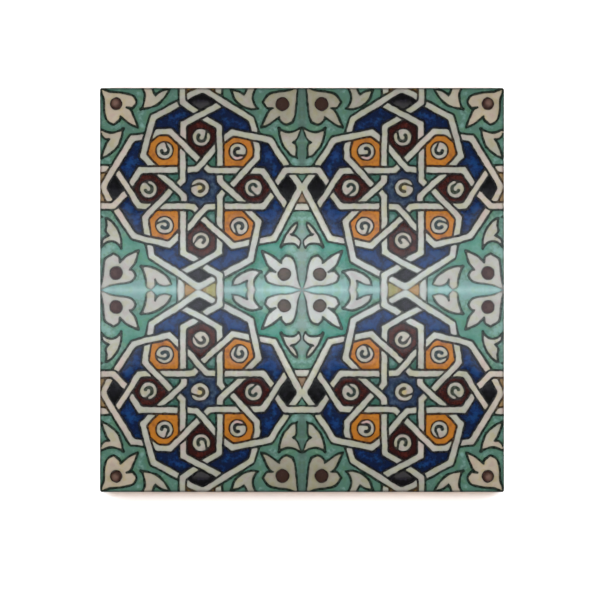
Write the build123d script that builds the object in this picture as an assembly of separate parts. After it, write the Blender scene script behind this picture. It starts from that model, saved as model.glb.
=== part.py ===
from build123d import *
from math import cos, radians, tan
import os

# Hand-painted square wall tile, one fired piece.
# It lies flat: the keyed back rests on z = 0, the glazed and painted face looks up along +Z.

# Driving dimensions, in millimetres and degrees
FACE_SIDE = 200.0          # side of the square face, over the rounded edges
THICKNESS = 12.0           # from the back to the glazed face
EDGE_DRAFT = 2.0           # degrees that the sides lean in towards the back
CORNER_RADIUS = 1.0        # the four upright corners
FACE_ARRIS = 0.7           # rounding that the glaze leaves along the edge of the face
BACK_CHAMFER = 0.5         # fettled edge of the back

# Keys pressed into the back for the adhesive, a lattice that leaves raised square pads
PLAIN_MARGIN = 12.0        # rim of the back that stays flat
PAD_PITCH = 17.0           # from one groove to the next
GROOVE_WIDTH = 4.5         # at the mouth
GROOVE_DEPTH = 0.9
GROOVE_DRAFT = 20.0        # degrees that a groove's walls lean open


def blank():
    """The pressed body, widest at the face and drafted towards the back, with its edges broken."""
    draft = radians(EDGE_DRAFT)
    # The rounding takes this much off the sharp edge, so the sheet is laid out wider by it
    lost_to_arris = FACE_ARRIS * (tan(draft) + 1 / cos(draft) - 1)
    sharp_side = FACE_SIDE + 2 * lost_to_arris
    face_plane = Plane(origin=(0, 0, THICKNESS), z_dir=(0, 0, -1))
    body = extrude(face_plane * Rectangle(sharp_side, sharp_side), THICKNESS, taper=EDGE_DRAFT)
    body = chamfer(body.faces().sort_by(Axis.Z)[0].edges(), BACK_CHAMFER)
    body = fillet(corner_edges(body), CORNER_RADIUS)
    return fillet(body.faces().sort_by(Axis.Z)[-1].outer_wire().edges(), FACE_ARRIS)


def corner_edges(body):
    """The four edges that stand nearly upright, without the short ones across the chamfer."""
    nearly_upright = cos(radians(25))
    return body.edges().filter_by(lambda edge: abs(edge.tangent_at(0.5).Z) > nearly_upright)


def key_grooves():
    """Two crossing sets of round-ended grooves, opening downwards, with a pad at the centre."""
    back_side = FACE_SIDE - 2 * THICKNESS * tan(radians(EDGE_DRAFT))
    field = back_side - 2 * PLAIN_MARGIN
    # An even number each way keeps the middle of the back on a pad
    per_direction = 2 * int((field - GROOVE_WIDTH + PAD_PITCH) / (2 * PAD_PITCH))
    groove = extrude(SlotOverall(field, GROOVE_WIDTH), GROOVE_DEPTH, taper=GROOVE_DRAFT)
    across = GridLocations(0, PAD_PITCH, 1, per_direction)
    return [turn * place * groove for turn in (Rot(0, 0, 0), Rot(0, 0, 90)) for place in across]


def tile():
    return blank() - key_grooves()


os.makedirs("parts", exist_ok=True)
part = tile()
part.label = "tile"
export_step(part, "parts/tile.step")
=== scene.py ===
import math
import bpy
import numpy as np
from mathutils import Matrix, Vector, noise
from mathutils.geometry import delaunay_2d_cdt


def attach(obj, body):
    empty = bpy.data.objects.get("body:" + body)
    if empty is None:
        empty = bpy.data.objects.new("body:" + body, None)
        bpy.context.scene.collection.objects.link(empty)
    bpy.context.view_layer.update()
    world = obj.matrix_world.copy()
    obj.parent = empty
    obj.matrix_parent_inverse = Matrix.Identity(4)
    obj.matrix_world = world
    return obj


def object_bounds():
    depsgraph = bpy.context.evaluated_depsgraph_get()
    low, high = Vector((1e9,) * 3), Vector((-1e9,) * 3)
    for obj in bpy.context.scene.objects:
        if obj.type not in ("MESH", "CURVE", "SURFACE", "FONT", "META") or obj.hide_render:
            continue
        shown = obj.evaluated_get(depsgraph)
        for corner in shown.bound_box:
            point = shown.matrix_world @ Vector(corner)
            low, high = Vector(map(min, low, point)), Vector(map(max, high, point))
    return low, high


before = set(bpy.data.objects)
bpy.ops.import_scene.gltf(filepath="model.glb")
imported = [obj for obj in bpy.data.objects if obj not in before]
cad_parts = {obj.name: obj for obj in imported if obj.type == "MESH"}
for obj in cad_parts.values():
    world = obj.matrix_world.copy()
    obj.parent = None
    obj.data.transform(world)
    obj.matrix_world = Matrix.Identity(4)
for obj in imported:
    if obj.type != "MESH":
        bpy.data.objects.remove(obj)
cad_box = [list(corner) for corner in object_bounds()]

# The hand-painted tile lies flat, painted face up. The painting is one quadrant, mirrored to the other
# three. Quadrant coordinates are millimetres, u to the right and v down, from the tile's corner at
# (0, 0) to its centre at (100, 100).
MM = 0.001
HALF = 0.5 * (cad_box[1][0] - cad_box[0][0]) / MM
FACE_Z = cad_box[1][2] / MM
Q = 100.0  # side of the quadrant that the pattern's points are written in
SEED = 7

# Strokes of the brush, half of each width
STRAP_HALF = 1.88  # from a strap's middle to the middle of its outline
STRAP_SOFT = 0.7  # how far from a strap's corner its softening starts
LINE = 0.57  # outlines of straps
PETAL_LINE = 0.62  # outlines of leaves and florals
PETAL_GROWN = 0.14  # the outlines' points were taken a little inside their middle
GROOVE_LINE = 0.80  # the turn inside a spiral
RING_LINE = 0.42  # round a spiral
DOT_LINE = 0.30  # round a floral's dot
BLOB = 0.95  # where a leaf's brush stroke was lifted
TUCK = 5.5  # length of a strap's end that can lie under another strap
WOBBLE = ((0.34, 7.0, 3.1), (0.12, 2.3, 8.7))  # the hand's unsteadiness: size, length and seed
WOBBLE_FADE = 2.0  # it fades out this near the quadrant's edges

# Light: the strips make the streak in the gloss, and reflections don't see the key and fill lamps
WORLD_LIGHT = 0.12
HORIZON_LIGHT = 0.40  # what reflections see low down all round
STRIP_HEIGHT, STRIP_LENGTH = 0.132, 0.60
STRIPS = ((0.075, 0.205), (0.020, 0.262))  # width and power of each
COOL = (0.93, 1.0, 1.07)
KEY_PLACE, KEY_SIZE, KEY_POWER = (0, 0.22, 1.10), (0.35, 0.40), 2.70
FILL_AWAY, FILL_HEIGHT = 1.2, 0.05  # a low lamp towards each side of the tile
FILL_SIZE, FILL_POWER = (0.90, 0.07), 2.4
FLOOR_REACH = 4.0
FLOOR_GREY = 0.79
FLOOR_GAIN = 4  # how many times the floor's light counts for the camera
WHITE_FROM, WHITE_BY = 0.22, 0.45  # from the middle, where the floor fades to plain white

# Mesh of the painting
PATH_STEP = 0.85
CIRCLE_STEP = PATH_STEP * 0.8
BORDER_STEP = 1.0
GRID_STEP = 1.15
GRID_JITTER = 0.22
HEX_ROW = 0.866  # from row to row of a hexagonal grid, in steps
LINE_ROW = 0.82  # a row of points each side of a line, just beyond its painted edge
LINE_ROW_CLEAR = 0.2  # beyond the painted edge of a wider line
ROW_MARGINS = (0.9, 0.3)  # rows keep off the tile's edge, and off its middle lines
GRID_MARGINS = (1.1, 0.5)  # so does the grid
NEAR_PATH = 0.40
NEAR_GRID = 0.66
SPIRAL_STEP = 0.62  # finer, because a spiral's turns lie close together
EDGE_ROWS = (0.22, 0.45, 0.70)  # rows of points that bend over the tile's edge
ON_EDGE = 1e-3  # a point this near the tile's edge is on it
FAR = 6.0  # a stroke further away than this has no effect

# Glaze
GLAZE = 0.10  # how far the glaze stands proud of the clay
CROWN = 0.16  # how much higher the middle of a glazed cell stands than its outline
CROWN_START, CROWN_WIDTH = 0.25, 1.2
RIPPLE, RIPPLE_LENGTH = 0.05, 11.0
ARRIS = 0.7  # rounding of the face's edge in the clay
WRAP = math.radians(76)  # how far round the arris the painting bends
CORNER = 1.0  # rounding of the upright corners in the clay
DRAFT = math.radians(2.0)  # lean of the clay's sides
RUN = 2.1  # how far the glaze runs down the sides
RUN_WAVES = ((0.9, 13.0, 5.0), (0.45, 4.0, 9.0))  # waves of its lower edge: height, length and seed
DRIP, DRIP_FROM = 4.0, 0.25  # drips grow where their noise rises above the second number
DRIP_LENGTH, DRIP_SEED = 7.0, 2.0
UNDER_INSET, UNDER_DEPTH = 1.2, 0.9  # where the skin closes, inside the clay

# The skirt of glaze down the sides: share of the run, how far proud of the clay, and how thin there
SKIRT = (
    (0.04, GLAZE, 0.05), (0.3, GLAZE, 0.3), (0.62, GLAZE * 1.25, 0.6),
    (0.9, GLAZE * 1.4, 0.9), (1.0, GLAZE * 0.5, 1.0), (1.01, -0.2, 1.0),
)

# Map for baking: the face unfolded with its skirt, and the underside as a small square in one corner
MAP_MARGIN = 10.0
MAP_UNDER = 8.0  # the skirt's last ring, beyond the face's edge
MAP_HIDDEN, MAP_GAP = 0.9, 0.05


def srgb(red, green, blue):
    """Linear colour of an 8-bit display colour."""
    out = []
    for value in (red, green, blue):
        c = value / 255
        out.append(c / 12.92 if c <= 0.04045 else ((c + 0.055) / 1.055) ** 2.4)
    return (*out, 1.0)


# Display colours of each glaze: its body, its washes, and the outline against it
GLAZES = {
    "cream": ((190, 188, 172), (196, 190, 178), (14, 24, 16)),
    "petal": ((182, 179, 159), (190, 184, 176), (14, 24, 16)),
    "teal": ((88, 128, 110), (124, 163, 151), (10, 28, 18)),
    "cobalt": ((4, 22, 56), (14, 58, 114), (6, 8, 18)),
    "black": ((6, 6, 8), (38, 34, 46), (5, 5, 6)),
    "maroon": ((48, 11, 8), (80, 28, 18), (18, 6, 5)),
    "orange": ((196, 122, 40), (164, 96, 42), (44, 24, 5)),
    "navy": ((30, 45, 72), (64, 82, 102), (9, 16, 28)),
    "leaf": ((58, 100, 88), (100, 136, 126), (9, 26, 17)),
    "ochre": ((150, 128, 84), (182, 170, 128), (52, 36, 16)),
    "dot": ((62, 40, 33), (110, 80, 70), (36, 20, 16)),
    "spiral": ((186, 180, 164), (202, 194, 182), (16, 34, 30)),
}

# Colours that the shaders add
YELLOWISH = srgb(250, 246, 206)
PINKISH = srgb(255, 232, 240)
THIN_GLAZE = srgb(202, 190, 166)  # over the clay, where the glaze stopped
CLAY, CLAY_PALE = srgb(176, 128, 96), srgb(196, 152, 118)
LIME = srgb(226, 206, 180)

# Cream straps, each from the strap that it comes out from under to the one that it goes under
STRAPS = [
    # long outer straps that turn back at the middle of each side
    [(40.8, 5.8), (50.6, 0.4), (75.0, 15.6), (77.3, 24.0)],
    [(24.0, 24.1), (16.0, 24.9), (1.6, 48.8), (6.0, 58.3)],
    [(93.4, 41.0), (99.2, 48.9), (86.3, 74.4), (77.0, 76.0)],
    [(24.2, 75.4), (25.7, 83.3), (48.8, 98.4), (58.8, 93.0)],
    # straps that come in from the sides
    [(40.8, -1.5), (40.8, 7.2), (49.5, 13.2)],
    [(-1.5, 58.5), (6.8, 58.4), (14.3, 50.4)],
    [(59.4, 101.5), (59.3, 92.6), (48.8, 86.8)],
    [(101.5, 40.8), (91.8, 40.8), (86.0, 49.2)],
    # bent straps over the cobalt cells
    [(62.0, 6.8), (41.3, 17.9), (41.1, 27.5)],
    [(7.2, 39.0), (19.3, 58.5), (27.3, 58.5)],
    [(39.0, 92.3), (59.3, 81.5), (59.2, 72.3)],
    [(93.3, 60.5), (80.6, 40.9), (72.0, 41.0)],
    # straps round the maroon cells
    [(49.3, 13.4), (59.0, 19.2), (59.5, 41.0)],
    [(14.3, 49.8), (19.8, 40.5), (40.8, 40.5)],
    [(50.3, 86.3), (41.1, 81.7), (41.1, 58.6)],
    [(87.0, 50.5), (80.7, 58.7), (59.3, 58.6)],
    # straps round the orange cells, outer side
    [(59.3, 27.0), (65.3, 22.0), (84.3, 25.9), (94.0, 41.0)],
    [(28.0, 40.3), (21.1, 33.6), (26.5, 14.6), (41.0, 6.9)],
    [(6.8, 58.4), (16.8, 73.5), (34.3, 77.7), (41.0, 70.8)],
    [(71.0, 58.6), (78.6, 66.0), (74.7, 85.0), (59.6, 92.9)],
    # straps round the orange cells, inner side
    [(24.1, 25.3), (28.3, 21.7), (34.7, 21.6), (50.7, 37.3)],
    [(23.8, 75.5), (22.3, 64.2), (36.6, 49.0)],
    [(76.5, 76.0), (65.8, 78.2), (48.9, 62.8)],
    [(76.2, 23.9), (78.0, 29.5), (77.8, 34.6), (63.8, 49.5)],
    # straps round the star
    [(59.3, 27.0), (47.8, 40.2), (40.8, 41.0)],
    [(27.0, 40.4), (41.7, 53.5), (41.7, 58.6)],
    [(41.1, 72.0), (52.7, 59.0), (59.4, 58.5)],
    [(59.2, 41.0), (59.3, 46.2), (73.0, 58.6)],
    # hooked straps of the star
    [(40.9, 27.3), (41.0, 45.7), (37.3, 49.0)],
    [(28.5, 58.6), (46.2, 58.6), (49.0, 61.7)],
    [(59.3, 72.0), (59.4, 53.6), (62.2, 50.3)],
    [(71.6, 41.0), (54.2, 41.0), (50.3, 37.5)],
    # stubs that the middle of each side shows
    [(58.7, -1.5), (58.7, 4.5)],
    [(-1.5, 40.2), (6.0, 40.2)],
    [(101.5, 58.8), (94.8, 58.8)],
    [(40.0, 101.5), (40.0, 92.8)],
]

# Outlines of the corner florals: a heart of two lobes with a pointed petal between them
FLORALS = [
    [(-0.3, -0.3), (5, 1.9), (12, 2.7), (16.3, 3.8), (17.9, 7), (16.2, 9.8), (13, 9.6), (15.4, 11.6),
     (18.9, 19.4), (14, 17.2), (10, 14), (9.7, 15.8), (7, 18.2), (3.7, 16.4), (2.3, 11), (1.9, 5)],
    [(98.0, -0.3), (93, 1.4), (88, 2.1), (83.5, 3.5), (80.9, 7), (82.7, 9.8), (85.6, 10), (82.9, 12.5),
     (79.8, 19.6), (84, 17.8), (88.8, 14.2), (89.6, 16), (92, 17.9), (95.5, 16.9), (96.6, 13),
     (97.4, 6)],
    [(0.2, 99.8), (1.4, 94), (2.0, 88.5), (2.7, 84.5), (6.8, 82), (9.4, 83.8), (9.6, 86.6), (14, 82.9),
     (19.2, 80.3), (17.2, 86.6), (14.6, 89.9), (16.4, 90.6), (17.4, 92.8), (15.6, 95.6), (12, 96.6),
     (6, 97.4)],
    [(99.8, 99.8), (94, 98.1), (88, 97.6), (83.5, 96.2), (81.9, 93), (83.7, 90.7), (86.9, 91.2),
     (82.9, 87.5), (80.2, 80.8), (84.8, 83), (89.9, 86.9), (89.9, 85.2), (92, 83.2), (95, 84),
     (96.7, 87.5), (97.5, 92), (98.5, 96.8)],
]

# Outlines of the swallow-tailed leaves beside the florals
LEAVES = [
    [(-1.5, 19.8), (3, 21.8), (7, 22.3), (11.0, 21.0), (10.7, 24.5), (8.8, 29), (5, 32.7), (0.6, 35.0),
     (1.8, 31.5), (3.2, 27.5), (4.8, 25.3), (2.2, 24.9), (0.4, 22.8), (-1.5, 22.4)],
    [(20.3, -1.5), (22, 2.5), (22.2, 6), (20.8, 10.4), (24, 10), (28, 8.2), (32, 4.6), (34.8, 0.4),
     (31, 1.4), (28.8, 2.6), (27.3, 4), (26.3, 2), (25.2, -1.5)],
    [(64.8, 0.8), (66.5, 5.3), (70.3, 8.8), (75, 10.4), (77.7, 10.2), (75.9, 7), (75.8, 3.5), (78, -1.5),
     (73.5, -1.5), (72.4, 1.5), (71.2, 3.6), (69, 2.2)],
    [(89, 20.6), (92, 21.8), (96, 21.6), (99.7, 19.6), (97.4, 25.2), (95.3, 26.8), (97, 28.5),
     (97.2, 34.2), (94.3, 33), (91, 28.5), (89.2, 24)],
    [(3.2, 64.4), (6.5, 66.6), (9, 70.5), (10.3, 75), (10.5, 79), (8.8, 77), (6, 75.9), (3, 76.6),
     (0.9, 78.1), (1.6, 75), (4.6, 73), (3.1, 70.8), (3.6, 68)],
    [(20.6, 88.3), (24.5, 88.6), (28.5, 90), (33, 93.2), (35.2, 97.3), (31.5, 98), (28.5, 96.6),
     (27.2, 94.6), (27.3, 97.5), (25.5, 99.6), (23.2, 98.5), (22.8, 95), (21.8, 91)],
    [(97.7, 66.5), (95, 69), (92, 73), (90, 78), (92.5, 77), (95.8, 77.1), (98.4, 78.8), (99.2, 76),
     (97.4, 73.8), (94.7, 72.8), (96.5, 70.8), (97.6, 68.5)],
    [(79.6, 90.9), (75, 90.1), (70, 91.9), (66.5, 94.6), (65.8, 97.4), (69, 97.1), (72.8, 95.4),
     (72.6, 98), (74.2, 101.5), (77.3, 101.5), (76, 97.5), (76.6, 94.4)],
]
BLOBS = [(11.3, 20.4), (20.2, 10.4), (77.9, 10.2), (88.8, 20.0), (97.5, 34.6), (10.6, 79.4), (1.1, 78.6),
         (20.3, 88.3), (89.8, 78.7), (98.2, 79.0), (79.8, 91.0), (65.6, 97.7), (1.3, 63.8)]

# Dots of the florals: centre and radius
DOTS = [(8.0, 7.8, 2.9), (90.3, 8.0, 3.3), (8.0, 91.7, 3.2), (91.3, 92.2, 3.1)]

# Spirals: centre, radius, direction in degrees where the dark turn comes in, its sweep, its colour
SPIRALS = [
    (49.5, 49.6, 4.7, 185, 270, (50, 43, 22)), (50.0, 24.5, 4.5, 305, 280, (29, 37, 29)),
    (76.0, 49.5, 4.45, 65, 263, (24, 41, 35)), (50.0, 75.5, 4.3, 150, 255, (55, 55, 51)),
    (24.0, 50.2, 4.4, 245, 272, (37, 47, 33)), (32.0, 31.0, 4.25, 270, 261, (9, 25, 21)),
    (68.2, 31.5, 4.25, 25, 256, (6, 14, 16)), (32.0, 68.0, 4.35, 185, 312, (36, 52, 55)),
    (69.0, 68.5, 4.45, 100, 305, (38, 47, 47)),
]
SPIRAL_RIM = 1.25  # the rim of a spiral that takes the outline colour of the cell round it
for number, (*_, turn_colour) in enumerate(SPIRALS):
    GLAZES[f"spiral {number}"] = (*GLAZES["spiral"][:2], turn_colour)

# Where a glaze differs from the rest of its kind, by its own tint, or by painted highlight, sheen or
# shade where marked: glaze, ends of a stretch, reach round it, colour
PATCHES = [
    ("spiral 0", (49.5, 49.6), (49.5, 49.6), 1.7, (198, 178, 116)),
    ("spiral 6", (67.4, 34.6), (69.4, 34.4), 1.5, (216, 176, 172)),
    ("dot", (91.3, 92.2), (91.3, 92.2), 6, (76, 68, 60)),
    ("dot", (8, 91.7), (8, 91.7), 6, (54, 14, 12)),
    # Painted highlight: a paler spot at the upper left of the corner floral's dot
    ("dot", (7.6, 7.4), (7.6, 7.4), 2.2, (136, 104, 90)),
    ("black", (93, 49), (98, 49), 9, (2, 2, 3)),
    ("black", (7.5, 49), (2, 49), 9, (2, 2, 3)),
    # Painted highlight: a paler streak in the black cell at the top
    ("black", (47, 9), (53, 9), 2.4, (66, 64, 64)),
    ("petal", (8, 8), (8, 8), 24, (207, 189, 164)),
    ("petal", (90, 8), (90, 8), 24, (168, 161, 140)),
    # Painted sheen: petals and straps paler and cooler toward the middle line across the tile
    ("petal", (0, 100), (40, 100), 32, (190, 188, 178)),
    ("petal", (60, 100), (100, 100), 32, (190, 193, 187)),
    ("cream", (0, 100), (100, 100), 32, (198, 203, 196)),
    ("cream", (3, 20), (3, 60), 16, (208, 193, 178)),
    ("cream", (40, 25), (40, 25), 9, (206, 194, 180)),
    ("ochre", (98.8, 55.5), (98.8, 52), 5, (136, 104, 84)),
    ("ochre", (44, 1), (56, 1), 5, (150, 118, 66)),
    ("ochre", (1.5, 44), (1.5, 55), 5, (162, 130, 88)),
    ("ochre", (44, 99), (44, 99), 6, (182, 138, 96)),
    ("ochre", (57, 99), (57, 99), 5, (160, 156, 104)),
    # Painted shade: greyer, darker teal along the middle line that runs up the tile, toward its outer
    # edges
    ("teal", (100, 0), (100, 42), 2.6, (86, 112, 100)),
    ("teal", (100, 70), (100, 100), 2.6, (120, 138, 130)),
    ("teal", (76, 84), (86, 78), 9, (46, 126, 108)),
    ("teal", (14, 79), (24, 84), 8, (78, 140, 120)),
    # Painted highlight: paler teal in a band and a streak along the middle line across the tile
    ("teal", (0, 100), (100, 100), 5.5, (130, 174, 168)),
    ("teal", (0, 100), (100, 100), 1.7, (166, 200, 194)),
]

PATCH_STRENGTH = (("fill", 0.9), ("wash", 0.75))  # how much of a patch's colour each layer takes

# A point inside each cell, and its glaze. What has no point is the teal ground.
CELLS = {
    "navy": [(49.5, 43)],
    "maroon": [(56, 25), (80, 46), (44, 75), (20, 47)],
    "orange": [(26, 30), (65, 27), (27, 66), (64, 63)],
    "leaf": [(44, 36.2), (37, 43.6), (36.6, 54), (43.6, 62.4), (55.2, 62.4), (63, 55.4),
             (62.8, 45), (56, 36)],
    "cobalt": [(38, 13), (63, 14), (15, 38), (85, 36), (15, 60), (86, 62),
               (36, 84), (63, 86)],
    "black": [(50, 6.5), (93, 49), (7.5, 49), (49.5, 92.5)],
    "ochre": [(44, 1.5), (56, 1.2), (1.5, 44), (1.5, 55), (98.8, 55.5), (44.5, 98.5),
              (55, 98.5)],
}


def dense(points, step, closed=False):
    """Points along a polyline, evenly spaced within each straight stretch."""
    out = []
    count = len(points) if closed else len(points) - 1
    for i in range(count):
        a = np.array(points[i], float)
        b = np.array(points[(i + 1) % len(points)], float)
        pieces = max(1, int(round(np.linalg.norm(b - a) / step)))
        for k in range(pieces):
            out.append(a + (b - a) * k / pieces)
    if not closed:
        out.append(np.array(points[-1], float))
    return np.array(out)


def rounded(points, step, corner=math.radians(58)):
    """A smooth closed outline through the points, which keeps its sharp corners."""
    p = [np.array(q, float) for q in points]
    n = len(p)

    def turn(i):
        a = p[i] - p[i - 1]
        b = p[(i + 1) % n] - p[i]
        return abs(math.atan2(a[0] * b[1] - a[1] * b[0], a[0] * b[0] + a[1] * b[1]))

    sharp = [turn(i) > corner for i in range(n)]
    out = []
    for i in range(n):
        j = (i + 1) % n
        span = p[j] - p[i]
        before = span if sharp[i] else (p[j] - p[i - 1]) / 2
        after = span if sharp[j] else (p[(j + 1) % n] - p[i]) / 2
        pieces = max(2, int(round(np.linalg.norm(span) / step)))
        for k in range(pieces):
            t = k / pieces
            h = (2 * t**3 - 3 * t**2 + 1, t**3 - 2 * t**2 + t, -2 * t**3 + 3 * t**2, t**3 - t**2)
            out.append(h[0] * p[i] + h[1] * before + h[2] * p[j] + h[3] * after)
    return np.array(out)


def grown(outline, by):
    """A closed outline moved outward a little."""
    ahead = np.roll(outline, -1, axis=0) - np.roll(outline, 1, axis=0)
    normal = np.stack([ahead[:, 1], -ahead[:, 0]], axis=1)
    normal /= np.linalg.norm(normal, axis=1)[:, None] + 1e-9
    following = np.roll(outline, -1, axis=0)
    area = (outline[:, 0] * following[:, 1] - following[:, 0] * outline[:, 1]).sum()
    return outline + normal * by * (1 if area > 0 else -1)


def strap_side(points, offset):
    """One side of a strap: its middle line moved sideways, with softened corners."""
    p = [np.array(q, float) for q in points]
    unit = [(b - a) / np.linalg.norm(b - a) for a, b in zip(p, p[1:])]
    normal = [np.array((-d[1], d[0])) for d in unit]
    side = [p[0] + normal[0] * offset]
    for i in range(1, len(p) - 1):
        mid = normal[i - 1] + normal[i]
        mid /= np.linalg.norm(mid)
        apex = p[i] + mid * offset / max(0.5, float(mid @ normal[i]))
        a = apex - unit[i - 1] * STRAP_SOFT
        b = apex + unit[i] * STRAP_SOFT
        side += [a, 0.25 * a + 0.5 * apex + 0.25 * b, b]
    side.append(p[-1] + normal[-1] * offset)
    return side


def inside(points, polygon):
    """Which points lie inside a closed polygon."""
    x, y = points[:, 0], points[:, 1]
    hit = np.zeros(len(points), bool)
    ends = np.roll(polygon, -1, axis=0)
    for (x0, y0), (x1, y1) in zip(polygon, ends):
        if y0 == y1:
            continue
        crosses = (y0 > y) != (y1 > y)
        hit ^= crosses & (x < (x1 - x0) * (y - y0) / (y1 - y0) + x0)
    return hit


def spiral_turn(x, y, radius, opens, sweep):
    """The dark turn of a spiral, in through its ring and round to the middle, and its half widths."""
    points, halves = [], []
    steps = 30
    for k in range(steps + 1):
        t = k / steps
        entry = max(0.0, 1 - t / 0.18)
        r = radius * (0.36 + 0.14 * (1 - t) + 0.47 * entry**2)
        angle = math.radians(opens + sweep * t)
        points.append((x + r * math.cos(angle), y + r * math.sin(angle)))
        widened = min(1.0, t / 0.3)
        end = max(0.0, t - 0.85) / 0.15
        halves.append(GROOVE_LINE * (0.56 + 0.44 * widened + 0.12 * end))
    return np.array(points), np.array(halves)


def circle(x, y, radius, step):
    """Points evenly spaced round a circle."""
    count = int(2 * math.pi * radius / step)
    angles = [2 * math.pi * k / count for k in range(count)]
    return np.array([(x + radius * math.cos(angle), y + radius * math.sin(angle)) for angle in angles])


def visible_runs(strap, bands):
    """The stretches of a strap's two sides that no other strap lies over."""
    ends = [np.array(STRAPS[strap][0]), np.array(STRAPS[strap][-1])]
    runs = []
    for offset in (STRAP_HALF, -STRAP_HALF):
        line = dense(strap_side(STRAPS[strap], offset), 0.3)
        near_end = np.minimum(*[np.linalg.norm(line - end, axis=1) for end in ends]) < TUCK
        covered = np.zeros(len(line), bool)
        for other, band in enumerate(bands):
            if other != strap:
                covered |= inside(line, band)
        shown = ~(near_end & covered)
        start = None
        for i, on in enumerate(list(shown) + [False]):
            if on and start is None:
                start = i
            if not on and start is not None:
                if i - start > 2:
                    runs.append(line[start:i])
                start = None
    return runs


def resample(line, step):
    """The same line with points about a step apart."""
    gaps = np.linalg.norm(np.diff(line, axis=0), axis=1)
    along = np.concatenate([[0], np.cumsum(gaps)])
    count = max(1, int(round(along[-1] / step)))
    at = np.linspace(0, along[-1], count + 1)
    return np.stack([np.interp(at, along, line[:, 0]), np.interp(at, along, line[:, 1])], axis=1)


def brush_strokes():
    """Every dark stroke as (points, closed, half widths), and the closed shapes that are filled."""
    bands = []
    for strap in STRAPS:
        bands.append(np.array(strap_side(strap, STRAP_HALF) + strap_side(strap, -STRAP_HALF)[::-1]))
    strokes = []
    for i in range(len(STRAPS)):
        strokes += [(resample(run, PATH_STEP), False, LINE) for run in visible_runs(i, bands)]
    petals = [grown(rounded(outline, PATH_STEP), PETAL_GROWN) for outline in FLORALS + LEAVES]
    strokes += [(petal, True, PETAL_LINE) for petal in petals]
    dots = [circle(*dot, CIRCLE_STEP) for dot in DOTS]
    strokes += [(dot, True, DOT_LINE) for dot in dots]
    rings = []
    for x, y, radius, opens, sweep, _ in SPIRALS:
        rings.append(circle(x, y, radius, CIRCLE_STEP))
        strokes.append((rings[-1], True, RING_LINE))
        turn, halves = spiral_turn(x, y, radius, opens, sweep)
        strokes.append((turn, False, halves))
    return strokes, bands, petals, dots, rings


class PointField:
    """Points kept at least a given distance apart, by a hash grid."""

    def __init__(self, cell):
        self.cell = cell
        self.grid = {}
        self.points = []

    def clear_of(self, p, distance):
        reach = int(math.ceil(distance / self.cell))
        cx, cy = int(p[0] // self.cell), int(p[1] // self.cell)
        for ix in range(cx - reach, cx + reach + 1):
            for iy in range(cy - reach, cy + reach + 1):
                for other in self.grid.get((ix, iy), ()):
                    if (other[0] - p[0]) ** 2 + (other[1] - p[1]) ** 2 < distance * distance:
                        return False
        return True

    def add(self, p):
        self.grid.setdefault((int(p[0] // self.cell), int(p[1] // self.cell)), []).append(p)
        self.points.append(p)


def hexagonal(x, y, radius, step):
    """Points of a hexagonal grid inside a circle."""
    out = []
    reach = int(radius / step) + 1
    for row in range(-reach, reach + 1):
        for column in range(-reach, reach + 1):
            px = (column + 0.5 * (row % 2)) * step
            py = row * step * HEX_ROW
            if math.hypot(px, py) < radius:
                out.append((x + px, y + py))
    return out


def within(p, from_edge, from_middle):
    """Whether a point keeps its distance from the tile's edge and from its middle lines."""
    return from_edge < min(p) and max(p) < Q - from_middle


def triangulate(strokes):
    """Triangles over the quadrant whose edges follow every stroke."""
    field = PointField(0.6)
    verts, edges = [], []
    border = dense([(0, 0), (Q, 0), (Q, Q), (0, Q)], BORDER_STEP, closed=True)
    over_edge = []
    for inset in EDGE_ROWS:
        over_edge.append((dense([(0, inset), (Q, inset)], BORDER_STEP), False))
        over_edge.append((dense([(inset, 0), (inset, Q)], BORDER_STEP), False))
    lines = [(border, True)] + over_edge + [(points, closed) for points, closed, _ in strokes]
    for points, closed in lines:
        first = len(verts)
        for p in points:
            verts.append(tuple(p))
            field.add(tuple(p))
        count = len(points)
        edges += [(first + k, first + k + 1) for k in range(count - 1)]
        if closed:
            edges.append((first + count - 1, first))
    for points, _, half in strokes:
        tangent = np.gradient(points, axis=0)
        tangent /= np.linalg.norm(tangent, axis=1)[:, None] + 1e-9
        normal = np.stack([-tangent[:, 1], tangent[:, 0]], axis=1)
        away = np.maximum(LINE_ROW, np.array(half) + LINE_ROW_CLEAR)
        away = np.broadcast_to(away, len(points))[:, None]
        for sign in (1, -1):
            for p in points + normal * away * sign:
                if within(p, *ROW_MARGINS) and field.clear_of(p, NEAR_PATH):
                    verts.append(tuple(p))
                    field.add(tuple(p))
    rng = np.random.default_rng(SEED)
    for x, y, radius, *_ in SPIRALS:
        for p in hexagonal(x, y, radius + 0.4, SPIRAL_STEP):
            if field.clear_of(p, SPIRAL_STEP * 0.55):
                verts.append(p)
                field.add(p)
    for row in range(int(Q / (GRID_STEP * HEX_ROW)) + 1):
        for column in range(int(Q / GRID_STEP) + 1):
            shift = GRID_STEP * (0.5 if row % 2 else 0.0)
            p = np.array((column * GRID_STEP + shift, row * GRID_STEP * HEX_ROW))
            p += rng.uniform(-GRID_JITTER, GRID_JITTER, 2) * GRID_STEP
            if within(p, *GRID_MARGINS) and field.clear_of(p, NEAR_GRID):
                verts.append(tuple(p))
                field.add(tuple(p))
    out = delaunay_2d_cdt([Vector(v) for v in verts], edges, [], 0, 1e-4)
    points = np.array([tuple(v) for v in out[0]])
    tris = np.array([tri for tri in out[2] if len(tri) == 3])
    middle = points[tris].mean(axis=1)
    keep = (middle > 0).all(axis=1) & (middle < Q).all(axis=1)
    tris = tris[keep]
    for edge in (0.0, Q):
        points[np.abs(points - edge) < 2e-3] = edge
    used, tris = np.unique(tris, return_inverse=True)
    return points[used], tris.reshape(-1, 3)


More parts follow.
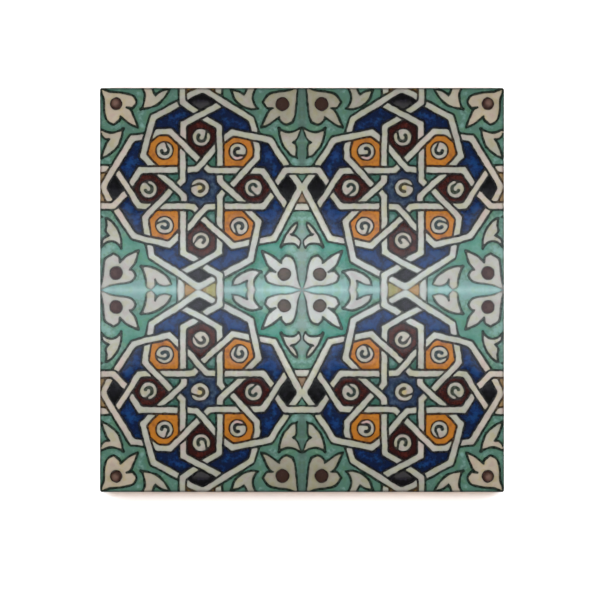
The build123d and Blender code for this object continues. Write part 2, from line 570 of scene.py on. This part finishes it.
def distances(points, strokes):
    """How far each point is from the nearest stroke's middle, and from the nearest painted edge."""
    to_path = np.full(len(points), 1e9)
    to_ink = np.full(len(points), 1e9)
    for line, closed, half in strokes:
        a = line if closed else line[:-1]
        b = np.roll(line, -1, axis=0) if closed else line[1:]
        low, high = line.min(axis=0) - FAR, line.max(axis=0) + FAR
        near = ((points > low) & (points < high)).all(axis=1).nonzero()[0]
        if not len(near):
            continue
        p = points[near][:, None, :]
        span = b - a
        length2 = (span**2).sum(axis=1) + 1e-12
        t = np.clip(((p - a) * span).sum(axis=2) / length2, 0, 1)
        d = np.sqrt((((a + t[..., None] * span) - p) ** 2).sum(axis=2))
        halves = np.broadcast_to(half, len(line))
        half_a = halves if closed else halves[:-1]
        half_b = np.roll(halves, -1) if closed else halves[1:]
        to_path[near] = np.minimum(to_path[near], d.min(axis=1))
        to_ink[near] = np.minimum(to_ink[near], (d - half_a - t * (half_b - half_a)).min(axis=1))
    for x, y in BLOBS:
        d = np.hypot(points[:, 0] - x, points[:, 1] - y)
        to_ink = np.minimum(to_ink, d - BLOB)
    return np.minimum(to_path, FAR), np.minimum(to_ink, FAR)


def name_glazes(points, tris, bands, petals, dots, rings):
    """The glaze of each triangle: closed shapes first, then each cell from a point inside it."""
    middle = points[tris].mean(axis=1)
    glaze = np.full(len(tris), "", dtype=object)
    for name, shapes in (("cream", bands), ("petal", petals), ("dot", dots)):
        for shape in shapes:
            glaze[inside(middle, shape)] = name
    for number, ring in enumerate(rings):
        glaze[inside(middle, ring)] = f"spiral {number}"
    beside = {}
    for t, tri in enumerate(tris):
        for k in range(3):
            key = (min(tri[k], tri[k - 1]), max(tri[k], tri[k - 1]))
            beside.setdefault(key, []).append(t)
    neighbours = [[] for _ in tris]
    for pair in beside.values():
        if len(pair) == 2:
            neighbours[pair[0]].append(pair[1])
            neighbours[pair[1]].append(pair[0])
    for name, seeds in CELLS.items():
        for seed in seeds:
            open_tris = (glaze == "").nonzero()[0]
            start = open_tris[np.argmin(np.hypot(*(middle[open_tris] - seed).T))]
            stack = [start]
            while stack:
                t = stack.pop()
                if glaze[t] == "":
                    glaze[t] = name
                    stack += neighbours[t]
    glaze[glaze == ""] = "teal"
    return glaze, middle


def outline_glaze(glaze, middle):
    """Which glaze each triangle's outline takes its colour from: in pale shapes, a nearby cell's."""
    spiral = np.array([name.startswith("spiral") for name in glaze])
    pale = np.isin(glaze, ("cream", "petal"))
    dark_at = middle[~pale & ~spiral]
    dark_name = glaze[~pale & ~spiral]
    for x, y, radius, *_ in SPIRALS:
        from_middle = np.hypot(middle[:, 0] - x, middle[:, 1] - y)
        pale |= (from_middle < radius) & (from_middle > radius - SPIRAL_RIM)
    cells = {}
    size = 1.5
    for i, p in enumerate(dark_at):
        cells.setdefault((int(p[0] // size), int(p[1] // size)), []).append(i)
    out = glaze.copy()
    for t in pale.nonzero()[0]:
        p = middle[t]
        cx, cy = int(p[0] // size), int(p[1] // size)
        near = []
        for ix in (cx - 1, cx, cx + 1):
            for iy in (cy - 1, cy, cy + 1):
                near += cells.get((ix, iy), [])
        if near:
            gap = np.hypot(*(dark_at[near] - p).T)
            out[t] = dark_name[near[int(np.argmin(gap))]]
    return out


def hand_wobble(points):
    """Small smooth shifts that a hand leaves, none across the quadrant's own edges."""
    noise.seed_set(SEED)
    out = points.copy()
    for i, (u, v) in enumerate(points):
        fade_u = min(1.0, u / WOBBLE_FADE, (Q - u) / WOBBLE_FADE)
        fade_v = min(1.0, v / WOBBLE_FADE, (Q - v) / WOBBLE_FADE)
        for size, length, seed in WOBBLE:
            shift = noise.noise_vector(Vector((u / length, v / length, seed)))
            out[i, 0] += size * shift[0] * fade_u
            out[i, 1] += size * shift[1] * fade_v
    return out


def edge_frame(x, y):
    """Where the arris starts beside a point, the way outward, how far the point is beyond that start,
    and how far beyond it the flat painting reaches."""
    flat, round_in = HALF - CORNER, CORNER - ARRIS
    sx, sy = math.copysign(1, x), math.copysign(1, y)
    qx, qy = abs(x) - flat, abs(y) - flat
    if qx > 0 and qy > 0:
        length = math.hypot(qx, qy)
        nx, ny = qx / length, qy / length
        beyond = length - round_in
        widest = CORNER / max(nx, ny) - round_in
    else:
        nx, ny = (1.0, 0.0) if qx > qy else (0.0, 1.0)
        beyond = max(qx, qy) - round_in
        widest = ARRIS
    nx, ny = sx * nx, sy * ny
    return (x - nx * beyond, y - ny * beyond), (nx, ny), beyond, widest


def over_the_edge(x, y, height):
    """Put a point of the painting on the tile: flat inside, wrapped round the arris at the edge."""
    (start_x, start_y), (nx, ny), beyond, widest = edge_frame(x, y)
    if beyond <= 0:
        return x, y, FACE_Z + GLAZE + height
    share = min(1.0, beyond / widest)
    radius = ARRIS + GLAZE
    out = radius * math.sin(share * WRAP)
    up = radius * math.cos(share * WRAP) + (1 - share) * height
    return start_x + nx * out, start_y + ny * out, FACE_Z - ARRIS + up


def beyond_arris(x, y, outward):
    """The point that far outward from the start of the arris, beside the border point (x, y)."""
    (start_x, start_y), (nx, ny), _, _ = edge_frame(x, y)
    return start_x + nx * outward, start_y + ny * outward


def paint_quadrant():
    """The painted quadrant: places, triangles, and what the shader needs at each."""
    strokes, bands, petals, dots, rings = brush_strokes()
    points, tris = triangulate(strokes)
    to_path, to_ink = distances(points, strokes)
    glaze, middle = name_glazes(points, tris, bands, petals, dots, rings)
    ink_of = outline_glaze(glaze, middle)
    return hand_wobble(points), points, tris, to_path, to_ink, glaze, ink_of


def glaze_relief(u, v, to_path):
    """Height of the glaze: crowned in each cell, low along the outlines, gently uneven all over."""
    crown = CROWN * (1 - math.exp(-max(0.0, to_path - CROWN_START) / CROWN_WIDTH))
    ripple = RIPPLE * noise.noise(Vector((u / RIPPLE_LENGTH, v / RIPPLE_LENGTH, 1.7)))
    return crown + ripple


class Skin:
    """The skin of glaze: its points and faces, and what the shader and the bake need at each."""

    def __init__(self):
        self.verts, self.quadrant, self.unfolded = [], [], []
        self.to_path, self.to_ink, self.thin = [], [], []
        self.faces, self.glaze, self.ink = [], [], []
        self.underside = 0

    def add_point(self, place, quadrant, unfolded, to_path, to_ink, thin):
        self.verts.append(place)
        self.quadrant.append(quadrant)
        self.unfolded.append(unfolded)
        self.to_path.append(to_path)
        self.to_ink.append(to_ink)
        self.thin.append(thin)
        return len(self.verts) - 1

    def add_face(self, corners, glaze, ink):
        self.faces.append(corners)
        self.glaze.append(glaze)
        self.ink.append(ink)


def build_skin():
    """The painted face, the skirt of glaze down the sides, and a flat underside inside the clay."""
    placed, flat, tris, to_path, to_ink, glaze, ink = paint_quadrant()
    scale = HALF / Q
    skin = Skin()
    known = {}
    for mx, my in ((-1, 1), (1, 1), (-1, -1), (1, -1)):
        index = []
        for i, (u, v) in enumerate(placed):
            x = mx * (Q - u) * scale
            y = my * (Q - v) * scale
            key = (round(x, 3), round(y, 3))
            if key not in known:
                place = over_the_edge(x, y, glaze_relief(*flat[i], to_path[i]))
                known[key] = skin.add_point(place, tuple(flat[i]), (x, y), to_path[i], to_ink[i], 0.0)
            index.append(known[key])
        for t, tri in enumerate(tris):
            corners = [index[k] for k in tri]
            # Two of the mirrorings turn the triangles face down, so their corners are put the other way
            if mx * my < 0:
                corners.reverse()
            skin.add_face(corners, glaze[t], ink[t])
    edge_loop = border_loop(skin.unfolded)
    beside = glaze_beside(edge_loop, skin.faces)
    previous = edge_loop
    for ring in skirt_rings(skin.unfolded, edge_loop):
        current = []
        for at, (place, unfolded, thin) in zip(edge_loop, ring):
            current.append(skin.add_point(place, skin.quadrant[at], unfolded, skin.to_path[at],
                                          skin.to_ink[at], thin))
        for k, face in enumerate(beside):
            after = (k + 1) % len(current)
            corners = [previous[k], current[k], current[after], previous[after]]
            skin.add_face(corners, skin.glaze[face], skin.ink[face])
        previous = current
    skin.underside = len(skin.faces)
    height = skin.verts[previous[0]][2]
    middle = skin.add_point((0.0, 0.0, height), (Q, Q), (0.0, 0.0), 0.0, FAR, 1.0)
    for k, corner in enumerate(previous):
        skin.add_face([middle, previous[(k + 1) % len(previous)], corner], "cream", "cream")
    return skin


def glaze_beside(edge_loop, faces):
    """The painted triangle that lies at each stretch of the painting's edge."""
    after = {vertex: k for k, vertex in enumerate(edge_loop)}
    count = len(edge_loop)
    beside = [0] * count
    for f, face in enumerate(faces):
        ends = [after[v] for v in face if v in after]
        if len(ends) == 2:
            low, high = sorted(ends)
            if high - low == 1:
                beside[low] = f
            elif low == 0 and high == count - 1:
                beside[high] = f
    return beside


def border_loop(coords):
    """The points on the painting's edge, in order round the tile, anticlockwise seen from above."""
    on_edge = [i for i, (x, y) in enumerate(coords) if max(abs(x), abs(y)) > HALF - ON_EDGE]
    return sorted(on_edge, key=lambda i: square_angle(*coords[i]))


def square_angle(x, y):
    """A number that grows once round the square's edge."""
    if y <= -HALF + ON_EDGE:
        return x + HALF
    if x >= HALF - ON_EDGE:
        return 2 * HALF + y + HALF
    if y >= HALF - ON_EDGE:
        return 4 * HALF + HALF - x
    return 6 * HALF + HALF - y


def skirt_rings(coords, edge_loop):
    """Rings of points down the side, to the wavy edge where the glaze stopped, and back under it.

    Each point is its place, where it lies in the unfolded map, and how thin the glaze is there.
    """
    rings = [[] for _ in range(len(SKIRT) + 1)]
    for i in edge_loop:
        x, y = coords[i]
        run = RUN
        for height, length, seed in RUN_WAVES:
            run += height * noise.noise(Vector((x / length, y / length, seed)))
        drip = noise.noise(Vector((x / DRIP_LENGTH, y / DRIP_LENGTH, DRIP_SEED)))
        run += DRIP * max(0.0, drip - DRIP_FROM)
        for ring, (share, proud, thin) in zip(rings, SKIRT):
            depth = ARRIS + share * run
            outward = ARRIS + proud - depth * math.tan(DRAFT)
            place = (*beyond_arris(x, y, outward), FACE_Z - depth)
            ring.append((place, beyond_arris(x, y, ARRIS + depth), thin))
        place = (*beyond_arris(x, y, -UNDER_INSET), FACE_Z - UNDER_DEPTH)
        rings[-1].append((place, beyond_arris(x, y, ARRIS + MAP_UNDER), 1.0))
    return rings


def colour_of(names, which):
    """The colour of each corner of the mesh, from the name of its glaze."""
    kinds, index = np.unique(names, return_inverse=True)
    return np.array([srgb(*GLAZES[str(kind)][which]) for kind in kinds])[index]


def patch_share(points, start, end, reach):
    """How strongly a patch shows at each point: full round its middle, and nothing beyond its reach."""
    start, span = np.array(start), np.array(end) - np.array(start)
    t = np.clip((points - start) @ span / (span @ span + 1e-9), 0, 1)[:, None]
    away = np.linalg.norm(start + t * span - points, axis=1)
    return np.clip(2 * (1 - away / reach), 0, 1)


def make_glaze_piece():
    """The piece painted_glaze, with its colours, the values that its shader reads, and its map."""
    skin = build_skin()
    mesh = bpy.data.meshes.new("painted_glaze")
    mesh.from_pydata([(x * MM, y * MM, z * MM) for x, y, z in skin.verts], [], skin.faces)
    mesh.validate(clean_customdata=False)
    corner_face = np.repeat(np.arange(len(skin.faces)), [len(face) for face in skin.faces])
    corner_at = np.array(skin.quadrant)[np.concatenate(skin.faces)]
    glaze = np.array(skin.glaze)[corner_face]
    ink = np.array(skin.ink)[corner_face]
    colours = {"fill": colour_of(glaze, 0), "wash": colour_of(glaze, 1), "line": colour_of(ink, 2)}
    for name, start, end, reach, colour in PATCHES:
        share = patch_share(corner_at, start, end, reach) * (glaze == name)
        for layer, strength in PATCH_STRENGTH:
            blend = (share * strength)[:, None]
            colours[layer] = colours[layer] * (1 - blend) + np.array(srgb(*colour)) * blend
    for name, values in colours.items():
        layer = mesh.color_attributes.new(name, "FLOAT_COLOR", "CORNER")
        layer.data.foreach_set("color", values.ravel())
    for name, values in (("to_path", skin.to_path), ("to_ink", skin.to_ink), ("thin", skin.thin)):
        mesh.attributes.new(name, "FLOAT", "POINT").data.foreach_set("value", values)
    place = mesh.attributes.new("quadrant", "FLOAT_VECTOR", "POINT")
    place.data.foreach_set("vector", [c for u, v in skin.quadrant for c in (u, v, 0.0)])
    layer = mesh.uv_layers.new(name="OFBake")
    reach = HALF + MAP_MARGIN
    hidden_at = reach - MAP_HIDDEN - MAP_GAP
    for polygon in mesh.polygons:
        hidden = polygon.index >= skin.underside
        polygon.use_smooth = not hidden
        for loop in polygon.loop_indices:
            x, y = skin.unfolded[mesh.loops[loop].vertex_index]
            if hidden:
                x, y = x / HALF * MAP_HIDDEN + hidden_at, y / HALF * MAP_HIDDEN + hidden_at
            layer.data[loop].uv = (0.5 + 0.5 * x / reach, 0.5 + 0.5 * y / reach)
    piece = bpy.data.objects.new("painted_glaze", mesh)
    bpy.context.scene.collection.objects.link(piece)
    return piece


class Nodes:
    """Short calls for the nodes of a material or the world."""

    def __init__(self, owner):
        owner.use_nodes = True
        self.tree = owner.node_tree

    def new(self, kind, **values):
        node = self.tree.nodes.new(kind)
        for name, value in values.items():
            setattr(node, name, value)
        return node

    def put(self, value, socket):
        if isinstance(value, bpy.types.NodeSocket):
            self.tree.links.new(value, socket)
        else:
            socket.default_value = value

    def attribute(self, name, output="Color"):
        return self.new("ShaderNodeAttribute", attribute_name=name).outputs[output]

    def math(self, operation, a, b):
        node = self.new("ShaderNodeMath", operation=operation)
        self.put(a, node.inputs[0])
        self.put(b, node.inputs[1])
        return node.outputs[0]

    def noise(self, vector, scale, detail=2.0, roughness=0.5):
        node = self.new("ShaderNodeTexNoise")
        self.put(vector, node.inputs["Vector"])
        node.inputs["Scale"].default_value = scale
        node.inputs["Detail"].default_value = detail
        node.inputs["Roughness"].default_value = roughness
        return node.outputs["Fac"]

    def ramp(self, value, low, high, to_low=0.0, to_high=1.0):
        node = self.new("ShaderNodeMapRange", interpolation_type="SMOOTHSTEP")
        self.put(value, node.inputs["Value"])
        node.inputs["From Min"].default_value = low
        node.inputs["From Max"].default_value = high
        node.inputs["To Min"].default_value = to_low
        node.inputs["To Max"].default_value = to_high
        return node.outputs["Result"]

    def mix(self, factor, a, b, blend="MIX"):
        node = self.new("ShaderNodeMix", data_type="RGBA", blend_type=blend)
        self.put(factor, node.inputs["Factor"])
        self.put(a, node.inputs["A"])
        self.put(b, node.inputs["B"])
        return node.outputs["Result"]

    def shade(self, colour, by):
        node = self.new("ShaderNodeVectorMath", operation="SCALE")
        self.put(colour, node.inputs[0])
        self.put(by, node.inputs["Scale"])
        return node.outputs[0]

    def bump(self, height, distance, strength, shader):
        node = self.new("ShaderNodeBump")
        node.inputs["Distance"].default_value = distance
        node.inputs["Strength"].default_value = strength
        self.put(height, node.inputs["Height"])
        self.put(node.outputs["Normal"], shader.inputs["Normal"])

    def choose(self, factor, a, b):
        """One of two shaders, or a mix of both."""
        node = self.new("ShaderNodeMixShader")
        self.put(factor, node.inputs[0])
        self.put(a.outputs[0], node.inputs[1])
        self.put(b.outputs[0], node.inputs[2])
        return node

    def rays(self):
        """Whether a ray is the camera's own, and whether it was reflected or went through glass."""
        seen = self.new("ShaderNodeLightPath").outputs
        reflected = self.math("MAXIMUM", seen["Is Glossy Ray"], seen["Is Transmission Ray"])
        return seen["Is Camera Ray"], reflected


def glaze_material():
    """Brushed glazes with dark outlines: washes, pooling and painted shade at the lines, painted sheen
    toward the middle line across the tile, specks and a soft gloss.
    """
    material = bpy.data.materials.new("painted_glaze")
    n = Nodes(material)
    shader = n.tree.nodes["Principled BSDF"]
    place = n.attribute("quadrant", "Vector")
    position = n.new("ShaderNodeTexCoord").outputs["Object"]
    to_path = n.attribute("to_path", "Fac")
    to_ink = n.attribute("to_ink", "Fac")
    split = n.new("ShaderNodeSeparateXYZ")
    n.put(place, split.inputs[0])
    u, v = split.outputs["X"], split.outputs["Y"]

    # Body and wash, mixed in clouds and brush marks, with more wash away from the lines, and more lower
    # down toward the middle line across the tile as painted sheen
    cloud = n.noise(place, 0.17, 3.0, 0.6)
    brush = n.noise(place, 0.55, 3.0, 0.55)
    own_cloud = n.noise(position, 120.0, 2.0)
    # Painted sheen: more of the wash toward the middle line across the tile
    lower = n.math("MULTIPLY", n.math("SUBTRACT", v, 50.0), 0.0012)
    mixed = n.math("ADD", n.math("MULTIPLY", cloud, 0.6), n.math("MULTIPLY", brush, 0.4))
    mixed = n.math("ADD", mixed, lower)
    mixed = n.math("ADD", mixed, n.ramp(to_path, 0.7, 3.2, -0.05, 0.05))
    body = n.mix(n.ramp(mixed, 0.42, 0.62), n.attribute("fill"), n.attribute("wash"))

    # Tints, darker along the tile's edge, painted shade beside the outlines with the glaze's pooling
    # there, and fine dark specks
    tint = n.noise(place, 0.23, 2.0, 0.5)
    body = n.mix(n.ramp(tint, 0.36, 0.50, 0.50, 0.0), body, YELLOWISH, "MULTIPLY")
    body = n.mix(n.ramp(tint, 0.52, 0.66, 0.0, 0.50), body, PINKISH, "MULTIPLY")
    body = n.shade(body, n.ramp(own_cloud, 0.25, 0.75, 0.92, 1.08))
    body = n.shade(body, n.ramp(n.math("MINIMUM", u, v), 0.35, 1.5, 0.42, 1.0))
    # Painted shade with pooling: darker beside the outlines, lighter in the crowned middle of each cell
    line_shade_and_pooling = n.math("ADD", to_path, n.math("MULTIPLY", brush, 0.9))
    body = n.shade(body, n.ramp(line_shade_and_pooling, 0.5, 1.9, 0.84, 1.0))
    specks = n.noise(position, 1900.0, 1.0)
    body = n.shade(body, n.ramp(specks, 0.70, 0.80, 1.0, 0.72))

    # Outlines, uneven as the brush was pressed, thinner at the middle lines, and paler low down and
    # along the middle line across the tile as painted sheen
    pressure = n.math("SUBTRACT", n.noise(place, 0.33, 1.0), 0.5)
    ragged = n.math("SUBTRACT", n.noise(place, 2.6, 3.0, 0.6), 0.5)
    side_seam = n.ramp(u, 95.5, 99.5)
    low_seam = n.ramp(v, 95.5, 99.5)
    edge = n.math("ADD", to_ink, n.math("MULTIPLY", pressure, 0.55))
    edge = n.math("ADD", edge, n.math("MULTIPLY", ragged, 0.22))
    edge = n.math("ADD", edge, n.math("MULTIPLY", n.math("MAXIMUM", side_seam, low_seam), 0.22))
    ink = n.ramp(edge, 0.12, -0.12)
    strength = n.ramp(n.noise(place, 0.8, 2.0), 0.3, 0.7, 0.92, 1.0)
    # Painted sheen: outlines paler toward and along the middle line across the tile
    strength = n.math("SUBTRACT", strength, n.ramp(v, 72.0, 96.0, 0.0, 0.14))
    strength = n.math("SUBTRACT", strength, n.math("MULTIPLY", low_seam, 0.40))
    colour = n.mix(n.math("MULTIPLY", ink, strength), body, n.attribute("line"))

    # Thin glaze where it stopped on the sides
    thin = n.attribute("thin", "Fac")
    run = n.math("ADD", thin, n.math("MULTIPLY", n.math("SUBTRACT", own_cloud, 0.5), 0.5))
    colour = n.mix(n.ramp(run, 0.25, 0.75), colour, THIN_GLAZE)
    n.put(colour, shader.inputs["Base Color"])
    rough = n.ramp(n.noise(position, 400.0, 2.0), 0.3, 0.7, 0.17, 0.25)
    n.put(n.math("ADD", rough, n.math("MULTIPLY", ink, 0.06)), shader.inputs["Roughness"])
    n.bump(n.noise(position, 900.0, 3.0), 0.00006, 0.55, shader)
    return material


def clay_material():
    """The fired clay of the back and sides: buff to red, sandy, with pale lime flecks."""
    material = bpy.data.materials.new("fired_clay")
    n = Nodes(material)
    shader = n.tree.nodes["Principled BSDF"]
    position = n.new("ShaderNodeTexCoord").outputs["Object"]
    cloud = n.noise(position, 26.0, 4.0, 0.6)
    sand = n.noise(position, 1300.0, 3.0, 0.7)
    body = n.mix(n.ramp(cloud, 0.35, 0.65), CLAY, CLAY_PALE)
    body = n.shade(body, n.ramp(sand, 0.3, 0.7, 0.86, 1.1))
    cells = n.new("ShaderNodeTexVoronoi")
    n.put(position, cells.inputs["Vector"])
    cells.inputs["Scale"].default_value = 420.0
    fleck = n.ramp(cells.outputs["Distance"], 0.16, 0.08)
    chosen = n.ramp(n.noise(position, 260.0, 1.0), 0.58, 0.62)
    body = n.mix(n.math("MULTIPLY", fleck, chosen), body, LIME)
    n.put(body, shader.inputs["Base Color"])
    n.put(n.ramp(sand, 0.3, 0.7, 0.78, 0.94), shader.inputs["Roughness"])
    n.bump(n.math("ADD", sand, n.math("MULTIPLY", cloud, 0.6)), 0.00025, 0.6, shader)
    return material


def floor_material():
    """A floor that the camera sees as white with the tile's shadow, and reflections as plain white."""
    material = bpy.data.materials.new("white_floor")
    n = Nodes(material)
    n.tree.nodes.remove(n.tree.nodes["Principled BSDF"])

    def matt():
        node = n.new("ShaderNodeBsdfDiffuse")
        node.inputs["Color"].default_value = (FLOOR_GREY, FLOOR_GREY, FLOOR_GREY, 1)
        return node

    plain = matt()
    bright = plain
    for _ in range(FLOOR_GAIN - 1):
        more = n.new("ShaderNodeAddShader")
        n.put(bright.outputs[0], more.inputs[0])
        n.put(matt().outputs[0], more.inputs[1])
        bright = more
    white = n.new("ShaderNodeEmission")
    away = n.new("ShaderNodeVectorMath", operation="LENGTH")
    n.put(n.new("ShaderNodeTexCoord").outputs["Object"], away.inputs[0])
    to_camera, reflected = n.rays()
    shown = n.choose(n.ramp(away.outputs["Value"], WHITE_FROM, WHITE_BY), bright, white)
    surface = n.choose(to_camera, n.choose(reflected, plain, white), shown)
    n.put(surface.outputs[0], n.tree.nodes["Material Output"].inputs["Surface"])
    return material


def studio_world():
    """Soft light all round, white for the camera, pale low down and dim above for reflections."""
    world = bpy.data.worlds.new("studio")
    n = Nodes(world)

    def background(strength):
        node = n.new("ShaderNodeBackground")
        node.inputs["Color"].default_value = (1, 1, 1, 1)
        n.put(strength, node.inputs["Strength"])
        return node

    direction = n.new("ShaderNodeSeparateXYZ")
    n.put(n.new("ShaderNodeTexCoord").outputs["Generated"], direction.inputs[0])
    horizon = background(n.ramp(direction.outputs["Z"], 0.15, 0.60, HORIZON_LIGHT, WORLD_LIGHT))
    to_camera, reflected = n.rays()
    light = n.choose(reflected, background(WORLD_LIGHT), horizon)
    shown = n.choose(to_camera, light, background(1.0))
    n.put(shown.outputs[0], n.tree.nodes["World Output"].inputs["Surface"])
    return world


def area_light(name, place, target, size, power, in_reflections=True):
    """A flat lamp that points at a target and that the camera doesn't see."""
    data = bpy.data.lights.new(name, "AREA")
    data.shape = "RECTANGLE"
    data.size, data.size_y = size
    data.energy = power
    lamp = bpy.data.objects.new(name, data)
    lamp.location = place
    lamp.visible_camera = False
    lamp.visible_glossy = in_reflections
    aim = Vector(target) - Vector(place)
    lamp.rotation_euler = aim.to_track_quat("-Z", "Y").to_euler()
    bpy.context.scene.collection.objects.link(lamp)
    return lamp


def stage():
    """The floor, the world and the lamps."""
    floor_mesh = bpy.data.meshes.new("floor")
    r = FLOOR_REACH
    floor_mesh.from_pydata([(-r, -r, 0), (r, -r, 0), (r, r, 0), (-r, r, 0)], [], [(0, 1, 2, 3)])
    floor = bpy.data.objects.new("floor", floor_mesh)
    floor_mesh.materials.append(floor_material())
    bpy.context.scene.collection.objects.link(floor)
    bpy.context.scene.world = studio_world()
    for width, power in STRIPS:
        strip = area_light("strip", (0, 0, STRIP_HEIGHT), (0, 0, 0), (STRIP_LENGTH, width), power)
        strip.data.color = COOL
    area_light("key", KEY_PLACE, (0, 0, 0), KEY_SIZE, KEY_POWER, in_reflections=False)
    middle = (0, 0, 0.5 * FACE_Z * MM)
    for x, y in ((1, 0), (-1, 0), (0, 1), (0, -1)):
        place = (x * FILL_AWAY, y * FILL_AWAY, FILL_HEIGHT)
        area_light("fill", place, middle, FILL_SIZE, FILL_POWER, in_reflections=False)


def camera():
    """Looks straight down, with the tile as large and in the same place as in the photo."""
    pixels, tile_pixels = 600.0, 404.2
    centre = (302.0, 290.0)
    lens, sensor = 110.0, 36.0
    seen = 2 * HALF * MM * pixels / tile_pixels
    data = bpy.data.cameras.new("camera")
    data.lens = lens
    data.sensor_width = sensor
    data.shift_x = (pixels / 2 - centre[0]) / pixels
    data.shift_y = (centre[1] - pixels / 2) / pixels
    view = bpy.data.objects.new("camera", data)
    view.location = (0, 0, FACE_Z * MM + seen * lens / sensor)
    bpy.context.scene.collection.objects.link(view)
    bpy.context.scene.camera = view


glaze_piece = make_glaze_piece()
glaze_piece.data.materials.append(glaze_material())
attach(glaze_piece, "root")
clay = clay_material()
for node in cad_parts.values():
    for slot in node.material_slots:
        slot.material = clay
stage()
camera()
bpy.context.scene.view_settings.view_transform = "Standard"
